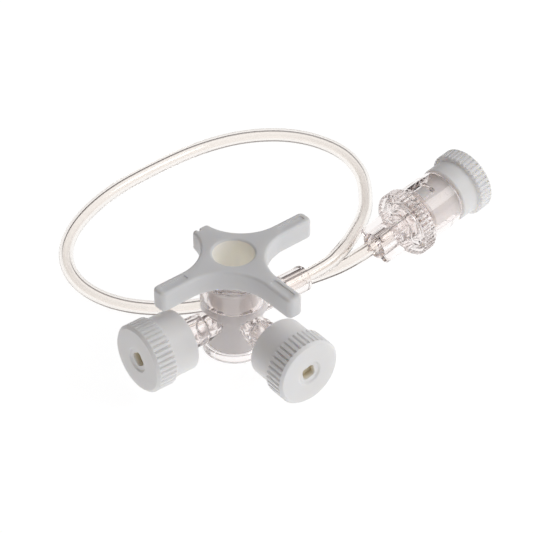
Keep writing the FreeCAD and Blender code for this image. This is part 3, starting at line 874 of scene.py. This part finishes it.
@dataclass(kw_only=True)
class RibbedCap:
    """What both kinds of cap share: a ribbed rim, a dished face and a square recess for a key."""

    finish: WhitePolyethylene
    ribs: GripRibs
    key_turn: float
    rim_radius: float = 6.1
    rim_step: float = 0.25
    bevel: float = 0.5
    dish_radius: float = 2.3
    dish_depth: float = 0.3
    key_side: float = 2.4
    key_corner: float = 0.6
    key_depth: float = 1.5
    key_reach: float = 1.8

    def face(self, rim: float, top: float) -> list[Corner]:
        """Outline from the rim's rear edge over the face to the axis."""
        dish = top - self.dish_depth
        return [
            (self.rim_radius, rim + self.rim_step, 0.1), (self.rim_radius, top - self.bevel, 0.06),
            (self.rim_radius - self.bevel, top, 0.06), (self.dish_radius, top, 0.12),
            (self.dish_radius - self.dish_depth, dish, 0.15), (0, dish, 0),
        ]

    def turned(
        self, name: str, inside: Sequence[Corner], rim: float, top: float, material: bpy.types.Material,
    ) -> bpy.types.Mesh:
        """Turns the cap, cuts its ribs and its key recess, and marks the recess for its painted shade.

        Args:
            name: Name of the mesh.
            inside: Outline from the axis over the inner side and the skirt to the rim.
            rim: Height of the rim's rear edge.
            top: Height of the face.
            material: The cap's finish.

        Returns:
            The cap's mesh along Z.
        """
        solid = lathe(name, rounded([*inside, *self.face(rim, top)]), self.ribs.columns)
        ribbed = self.ribs.cut(solid, self.rim_radius, rim + SLIVER, top - self.bevel, material)
        square = rounded_box_outline(self.key_side, self.key_side, self.key_corner)
        key = prism("key", square, top - self.key_depth, top + BEYOND)
        mesh = combined(ribbed, [moved(key, spin(self.key_turn))], Combine.CUT)
        # The key recess is marked for painted shade: the caps' finish gives it a darker beige.
        low, high = top - self.key_depth - NEAR, top - self.dish_depth - NEAR / 2
        mark_zone(mesh, lambda p: low < p.z < high and math.hypot(p.x, p.y) < self.key_reach)
        return mesh


@dataclass(kw_only=True)
class LockCap(RibbedCap):
    """White screw cap of a lock port, with a nose that closes the bore."""

    name: str
    port: Port
    length: float = 8.95
    face_at: float = 20.4
    port_height: float = 7.0
    skirt_radius: float = 5.45
    rim_length: float = 4.15
    bore: float = 4.2
    floor: float = 6.15
    nose_tip: float = 1.15
    nose_tip_radius: float = 1.73
    nose_radius: float = 1.9

    def build(self) -> bpy.types.Object:
        """Builds and dresses the cap."""
        material = self.finish.material()
        top, rim = self.length, self.length - self.rim_length
        mesh = self.turned(self.name, [
            (0, self.nose_tip, 0), (self.nose_tip_radius, self.nose_tip, 0.3), (self.nose_radius, self.floor, 0.2),
            (self.bore, self.floor, 0.2), (self.bore, 0, 0.12), (self.skirt_radius, 0, 0.3),
            (self.skirt_radius, rim, 0.12),
        ], rim, top, material)
        direction = Vector(self.port.value)
        origin = Vector((0, 0, self.port_height)) + direction * (self.face_at - self.length)
        return publish(mesh, f"white_{self.name}", self.name, self.name, material, along(origin, direction))


# The line and its connector


@dataclass(frozen=True)
class ConnectorAxis:
    """Axis of the connector: it rises and turns a little from +X, and rests on its ring."""

    x: float = 39.0
    y: float = 1.55
    heading: float = 4.6
    rise: float = 7.5
    ring_radius: float = 6.2
    floor_gap: float = 0.03

    @property
    def direction(self) -> Vector:
        """Unit vector from the tube towards the cap."""
        heading, rise = math.radians(self.heading), math.radians(self.rise)
        return Vector((math.cos(rise) * math.cos(heading), math.cos(rise) * math.sin(heading), math.sin(rise)))

    @property
    def origin(self) -> Vector:
        """Centre of the ring's back face."""
        return Vector((self.x, self.y, self.ring_radius * math.cos(math.radians(self.rise)) + self.floor_gap))

    def at(self, distance: float) -> Vector:
        """Point on the axis."""
        return self.origin + self.direction * distance

    @property
    def placement(self) -> Matrix:
        """From the connector's own frame to the shared one."""
        return along(self.origin, self.direction)


@dataclass
class ExtensionTube:
    """Clear flexible tube that leaves its socket, loops on the table and rises into the hub."""

    finish: ClearPlastic
    axis: ConnectorAxis
    radius: float = 1.3
    bore: float = 0.68
    socket_tip: float = 15.2
    socket_depth: float = 4.6
    port_height: float = 7.0
    hub_length: float = 7.1
    hub_socket: float = 3.5
    lead: float = 4.9
    length: float = 196.2
    columns: int = 40
    steps_each: int = 40

    def route(self) -> list[Vector]:
        """The route's points, listed."""
        return [
            Vector((self.socket_tip - self.socket_depth, 0, self.port_height)),
            Vector((20.4, 0, self.port_height)), Vector((25.2, 1.65, 7.2)), Vector((29.7, 4.55, 5.9)),
            Vector((38.0, 10.4, 3.95)), Vector((44.0, 17.2, 2.3)), Vector((48.4, 23.9, 1.6)),
            Vector((50.0, 31.9, 1.35)), Vector((46.6, 40.5, 1.35)), Vector((39.0, 46.4, 1.35)),
            Vector((29.2, 48.9, 1.35)), Vector((18.4, 48.8, 1.35)), Vector((7.5, 47.7, 1.35)),
            Vector((-2.8, 43.7, 1.35)), Vector((-10.1, 37.3, 1.35)), Vector((-13.0, 28.7, 1.35)),
            Vector((-10.9, 20.0, 1.35)), Vector((-4.4, 13.1, 1.35)), Vector((4.2, 9.0, 1.35)),
            Vector((13.0, 6.6, 1.4)), Vector((20.8, 4.1, 1.9)),
            self.axis.at(-self.hub_length - self.lead), self.axis.at(self.hub_socket - self.hub_length),
        ]

    def path(self) -> list[Vector]:
        """Points of the route's smooth line, read from its spline, in metres."""
        curve = bpy.data.curves.new("route", "CURVE")
        curve.dimensions = "3D"
        spline = curve.splines.new("NURBS")
        points = self.route()
        spline.points.add(len(points) - 1)
        for knot, point in zip(spline.points, points):
            knot.co = (*(point * MM), 1.0)
        spline.order_u = 3
        spline.use_endpoint_u = True
        spline.resolution_u = self.steps_each
        holder = new_object("route", curve)
        line = evaluated(holder)
        path = [v.co.copy() for v in line.vertices]
        bpy.data.objects.remove(holder)
        bpy.data.curves.remove(curve)
        bpy.data.meshes.remove(line)
        return path

    def build(self, pieces: Sequence[bpy.types.Object]) -> bpy.types.Object:
        """Args:
            pieces: The connector's pieces at its far end. Not used.

        Returns:
            The tube.
        """
        path = self.path()
        bm = bmesh.new()
        side = Vector((0, 0, 1))
        outer, inner = [], []
        turns = [2 * math.pi * k / self.columns for k in range(self.columns)]
        for index, point in enumerate(path):
            forward = (path[min(index + 1, len(path) - 1)] - path[max(index - 1, 0)]).normalized()
            side = (side - forward * side.dot(forward)).normalized()
            across = forward.cross(side)
            for radius, rings in ((self.radius, outer), (self.bore, inner)):
                rings.append([
                    bm.verts.new(point / MM + (side * math.cos(a) + across * math.sin(a)) * radius) for a in turns
                ])
        for rings in (outer, inner):
            for low, high in zip(rings, rings[1:]):
                bridge(bm, low, high)
        for end in (0, -1):
            bridge(bm, outer[end], inner[end])
        mesh = finished(bm, "tube")
        tube = publish(mesh, "clear_tube", "extension_tube", "stopcock_body", self.finish.material(), Matrix())
        return tube


@dataclass
class LineHub:
    """Clear hub on the end of the tube: four grip fins, a flange and the male cone."""

    finish: ClearPlastic
    axis: ConnectorAxis
    length: float = 7.1
    core: float = 2.6
    fin_radius: float = 3.75
    fin_width: float = 1.5
    fin_front: float = 0.3
    fin_turn: float = 38.0
    fin_round: float = 0.15
    fin_rear_round: float = 0.8
    fin_crease: float = 1.2
    neck: float = 2.9
    flange_radius: float = 3.85
    flange_start: float = 2.55
    flange_end: float = 3.45
    cone_tip: float = 10.9
    cone_tip_radius: float = 1.97
    taper: float = 0.03
    tube_socket: float = 3.5
    socket_radius: float = 1.33
    fluid_bore: float = 0.9

    def fin_bar(self, turn: float) -> bpy.types.Mesh:
        """Two opposite fins as one bar with round rear corners."""
        rear, front, half = -self.length, -self.fin_front, self.fin_width / 2
        profile = rounded([
            (0, rear, 0), (self.fin_radius, rear, self.fin_rear_round),
            (self.fin_radius, front, 0.2), (0, front, 0),
        ], 8)[1:-1]
        loop = profile + [(-x, z) for x, z in reversed(profile)]
        bm = bmesh.new()
        near = [bm.verts.new((x, -half, z)) for x, z in loop]
        far = [bm.verts.new((x, half, z)) for x, z in loop]
        bridge(bm, near, far)
        bm.faces.new(near)
        bm.faces.new(list(reversed(far)))
        bmesh.ops.recalc_face_normals(bm, faces=bm.faces)
        rims = [e for e in bm.edges if len(e.link_faces) == 2 and e.calc_face_angle() > self.fin_crease]
        bmesh.ops.bevel(bm, geom=rims, offset=self.fin_round, segments=4, affect="EDGES", clamp_overlap=True)
        return moved(finished(bm, "fins"), spin(turn))

    def build(self) -> bpy.types.Object:
        """Builds and dresses the hub."""
        cone_base = self.cone_tip_radius + self.taper * (self.cone_tip - self.flange_end)
        core = lathe("hub", rounded([
            (0, -self.length, 0), (self.core, -self.length, 0.2), (self.core, -self.fin_front, 0.1),
            (self.neck, -self.fin_front, 0.1), (self.neck, self.flange_start, 0.1),
            (self.flange_radius, self.flange_start, 0.15), (self.flange_radius, self.flange_end, 0.15),
            (cone_base, self.flange_end, 0.2), (self.cone_tip_radius, self.cone_tip, 0.15), (0, self.cone_tip, 0),
        ]), MIDDLE)
        solid = combined(core, [self.fin_bar(self.fin_turn), self.fin_bar(self.fin_turn + 90)], Combine.JOIN)
        socket_end = self.tube_socket - self.length
        bores = lathe("hub_bores", [
            (0, -self.length - BEYOND), (self.socket_radius, -self.length - BEYOND),
            (self.socket_radius, socket_end), (self.fluid_bore, socket_end),
            (self.fluid_bore, self.cone_tip + BEYOND), (0, self.cone_tip + BEYOND),
        ], NARROW)
        mesh = combined(solid, [bores], Combine.CUT)
        return publish(mesh, "clear_hub", "luer_hub", "stopcock_body", self.finish.material(), self.axis.placement)


@dataclass
class RotatingCollar:
    """Clear collar with a ribbed ring, windows beside it and an open front."""

    finish: ClearPlastic
    axis: ConnectorAxis
    ribs: GripRibs
    ring_radius: float = 6.2
    ring_length: float = 2.8
    bevel: float = 0.35
    sleeve: float = 5.35
    step_at: float = 8.2
    step_length: float = 0.15
    lip: float = 5.1
    length: float = 10.4
    bore: float = 4.2
    recess: float = 4.7
    recess_depth: float = 0.9
    hole: float = 3.2
    wall_front: float = 2.4
    window_start: float = 4.0
    window_length: float = 2.9
    window_degrees: float = 46.0
    window_turn: float = 183.0

    def window(self, middle: float) -> bpy.types.Mesh:
        """Cutter of one window, centred on an angle."""
        radii = (self.bore - BEYOND / 2, self.sleeve + BEYOND)
        span = (self.window_start, self.window_start + self.window_length)
        return moved(sector("window", radii, self.window_degrees, span, 24), spin(middle))

    def build(self) -> bpy.types.Object:
        """Builds and dresses the collar."""
        material = self.finish.material()
        ring, b = self.ring_radius, self.bevel
        corners: list[Corner] = [
            (self.recess, 0, 0), (ring - b, 0, 0.1), (ring, b, 0.1), (ring, self.ring_length - b, 0.1),
            (ring - b, self.ring_length, 0.1), (self.sleeve, self.ring_length, 0.15),
            (self.sleeve, self.step_at, 0.08), (self.lip, self.step_at + self.step_length, 0.08),
            (self.lip, self.length, 0.2), (self.bore, self.length, 0.12), (self.bore, self.wall_front, 0.2),
            (self.hole, self.wall_front, 0.12), (self.hole, self.recess_depth, 0.12),
            (self.recess, self.recess_depth, 0.2), (self.recess, 0, 0),
        ]
        solid = lathe("collar", rounded(corners)[:-1], self.ribs.columns, ring=True)
        ribbed = self.ribs.cut(solid, ring, -NEAR, self.ring_length + SLIVER, material)
        windows = [self.window(self.window_turn + turn) for turn in (0.0, 180.0)]
        mesh = combined(ribbed, windows, Combine.CUT)
        mark_zone(mesh, lambda p: p.z < self.ring_length + SLIVER and math.hypot(p.x, p.y) > self.sleeve)
        return publish(mesh, "clear_collar", "rotating_collar", "rotating_collar", material, self.axis.placement)


@dataclass(kw_only=True)
class EndCap(RibbedCap):
    """White cap of the connector, with a neck inside the collar."""

    axis: ConnectorAxis
    face_at: float = 17.4
    rim_length: float = 3.2
    skirt_radius: float = 5.3
    skirt_start: float = 10.7
    neck_radius: float = 3.6
    neck_start: float = 4.4
    wall: float = 2.4
    mouth: float = 2.46
    inner: float = 2.27
    cone_tip: float = 10.9

    def build(self) -> bpy.types.Object:
        """Builds and dresses the end cap."""
        material = self.finish.material()
        top, rim = self.face_at, self.face_at - self.rim_length
        mesh = self.turned("end_cap", [
            (0, top - self.wall, 0), (self.inner, top - self.wall, 0.3), (self.inner, self.cone_tip, 0.3),
            (self.mouth, self.neck_start, 0.1), (self.neck_radius, self.neck_start, 0.2),
            (self.neck_radius, self.skirt_start, 0.2), (self.skirt_radius, self.skirt_start, 0.3),
            (self.skirt_radius, rim, 0.12),
        ], rim, top, material)
        return publish(mesh, "white_end_cap", "end_cap", "end_cap", material, self.axis.placement)


# Floor, light and camera


@dataclass
class Studio:
    """White table, soft light all round and the photograph's camera."""

    camera_mm: tuple[float, float, float] = (-191.354, -251.517, 264.542)
    target_mm: tuple[float, float, float] = (10.65, 4.62, 8.82)
    focal_px: float = 2395.09
    sensor_mm: float = 36.0
    floor_half_m: float = 1.2
    floor_colour: str = "#808080"
    floor_glow: float = 0.85
    floor_seen: float = 0.9
    bright_side: tuple[float, float, float] = (0.785, -0.619, 0.0)
    sky_level: float = 0.16
    sky_lift: float = 0.5
    sky_slope: float = 0.42
    sky_least: float = 0.045
    shade_colour: str = "#C4958A"
    warm_below: float = 0.45
    key_power: float = 0.2
    key_place: tuple[float, float, float] = (0.2, -0.15, 0.2)
    key_side: float = 0.15
    clear_bounces: int = 32
    gloss_bounces: int = 12

    def camera(self) -> None:
        """Places the camera at the photograph's angle."""
        data = bpy.data.cameras.new("camera")
        data.sensor_width = self.sensor_mm
        data.lens = self.sensor_mm * self.focal_px / PHOTO_SIDE
        data.clip_start = 0.01
        camera = new_object("camera", data)
        position, target = Vector(self.camera_mm) * MM, Vector(self.target_mm) * MM
        camera.location = position
        camera.rotation_euler = (target - position).to_track_quat("-Z", "Y").to_euler()
        bpy.context.scene.camera = camera

    def floor(self) -> None:
        """White table top that glows a little, as a lit translucent one does."""
        material, tree = new_material("white_acrylic_table")
        path = add(tree, "ShaderNodeLightPath").outputs
        seen = maths(tree, "MAXIMUM", path["Is Camera Ray"], path["Is Glossy Ray"])
        seen = maths(tree, "MAXIMUM", seen, path["Is Transmission Ray"])
        level = add(tree, "ShaderNodeMapRange", {
            "Value": seen, "To Min": self.floor_glow, "To Max": self.floor_seen,
        })
        matte = add(tree, "ShaderNodeBsdfDiffuse", {"Color": linear(self.floor_colour)})
        glow = add(tree, "ShaderNodeEmission", {"Color": (1, 1, 1, 1), "Strength": level.outputs[0]})
        both = add(tree, "ShaderNodeAddShader", {0: matte.outputs[0], 1: glow.outputs[0]})
        add(tree, "ShaderNodeOutputMaterial", {"Surface": both.outputs[0]})
        half = self.floor_half_m
        mesh = bpy.data.meshes.new("floor")
        corners = [(-half, -half, 0), (half, -half, 0), (half, half, 0), (-half, half, 0)]
        mesh.from_pydata(corners, [], [(0, 1, 2, 3)])
        mesh.materials.append(material)
        new_object("floor", mesh)

    def world(self) -> None:
        """Soft surroundings: bright overhead and to the right, dim and warm to the left, white to the camera."""
        world = bpy.data.worlds.new("studio")
        world.use_nodes = True
        tree = world.node_tree
        tree.nodes.clear()
        way = add(tree, "ShaderNodeTexCoord").outputs["Generated"]
        height = add(tree, "ShaderNodeSeparateXYZ", {0: way}).outputs[2]
        side = add(tree, "ShaderNodeVectorMath", {0: way, 1: self.bright_side}, operation="DOT_PRODUCT")
        lift = maths(tree, "MULTIPLY_ADD", height, self.sky_lift, self.sky_level)
        slope = maths(tree, "MULTIPLY_ADD", side.outputs["Value"], self.sky_slope, lift)
        dome = maths(tree, "MAXIMUM", slope, self.sky_least)
        camera = add(tree, "ShaderNodeLightPath").outputs["Is Camera Ray"]
        level = add(tree, "ShaderNodeMix", {0: camera, 2: dome, 3: 1.0}, data_type="FLOAT").outputs[0]
        warmth = add(tree, "ShaderNodeMapRange", {
            "Value": level, "From Min": self.sky_least, "From Max": self.warm_below,
        })
        colour = blend(tree, warmth.outputs[0], linear(self.shade_colour), (1, 1, 1, 1))
        light = add(tree, "ShaderNodeBackground", {"Color": colour, "Strength": level})
        add(tree, "ShaderNodeOutputWorld", {"Surface": light.outputs[0]})
        bpy.context.scene.world = world

    def lamp(self, name: str, place: Sequence[float], side_m: float, power: float) -> None:
        """One soft square lamp that faces the object."""
        data = bpy.data.lights.new(name, "AREA")
        data.shape = "SQUARE"
        data.size = side_m
        data.energy = power
        lamp = new_object(name, data)
        lamp.location = place
        lamp.rotation_euler = (-Vector(place)).to_track_quat("-Z", "Y").to_euler()

    def build(self) -> None:
        """Sets up the studio."""
        self.floor()
        self.world()
        self.camera()
        self.lamp("key", self.key_place, self.key_side, self.key_power)
        scene = bpy.context.scene
        scene.view_settings.view_transform = "Standard"
        # Light crosses many clear walls before it leaves the connector.
        scene.cycles.max_bounces = self.clear_bounces
        scene.cycles.transmission_bounces = self.clear_bounces
        scene.cycles.transparent_max_bounces = self.clear_bounces
        scene.cycles.glossy_bounces = self.gloss_bounces


def main() -> None:
    """Builds every piece round the frame."""
    logging.basicConfig(level=logging.INFO, format="%(message)s")
    Studio().build()
    axis = ConnectorAxis()
    ribs = GripRibs()
    clear = ClearPlastic(
        "moulded_polycarbonate", ior=1.585, tint="#FFFCFB", absorbs="#CDBBB6", density_per_mm=0.03,
    )
    collar_clear = replace(
        clear, name="moulded_polycarbonate_collar", ripple_height_mm=0.004, grip_roughness=0.14,
    )
    acrylic = ClearPlastic(
        "moulded_acrylic", ior=1.45, tint="#FFFCFB", absorbs="#D3C2BC", density_per_mm=0.02, roughness=0.02,
        ripple_height_mm=0.004,
    )
    pvc = ClearPlastic(
        "extruded_soft_PVC", ior=1.53, tint="#FDFAF7", absorbs="#BBADA2", density_per_mm=0.055, roughness=0.04,
        ripple_height_mm=0.003,
    )
    Housing(clear).build()
    # The tap keeps the default recess colour and glow: painted light in its well.
    Tap(WhitePolyethylene("moulded_polyethylene_tap", face="#E0E1E3", shade="#DADADB")).build()
    # The caps' recess colour is a darker beige: painted shade in their key recesses, with no glow.
    cap_finish = WhitePolyethylene(
        "moulded_polyethylene_cap", face="#EEEEEF", shade="#E8E7E6", recess="#DDD3B8", painted_recess_glow=0.0,
    )
    LockCap(name="inline_cap", port=Port.INLINE, key_turn=38.0, finish=cap_finish, ribs=ribs).build()
    LockCap(name="side_cap", port=Port.SIDE, key_turn=12.0, finish=cap_finish, ribs=ribs).build()
    hub = LineHub(acrylic, axis).build()
    soft_ribs = GripRibs(depth=0.26, groove_start=0.2, groove_end=0.92, flank=0.3)
    collar = RotatingCollar(collar_clear, axis, soft_ribs).build()
    cap = EndCap(axis=axis, key_turn=12.0, finish=cap_finish, ribs=GripRibs(depth=0.32)).build()
    ExtensionTube(pvc, axis).build([hub, collar, cap])


if __name__ == "__main__":
    main()
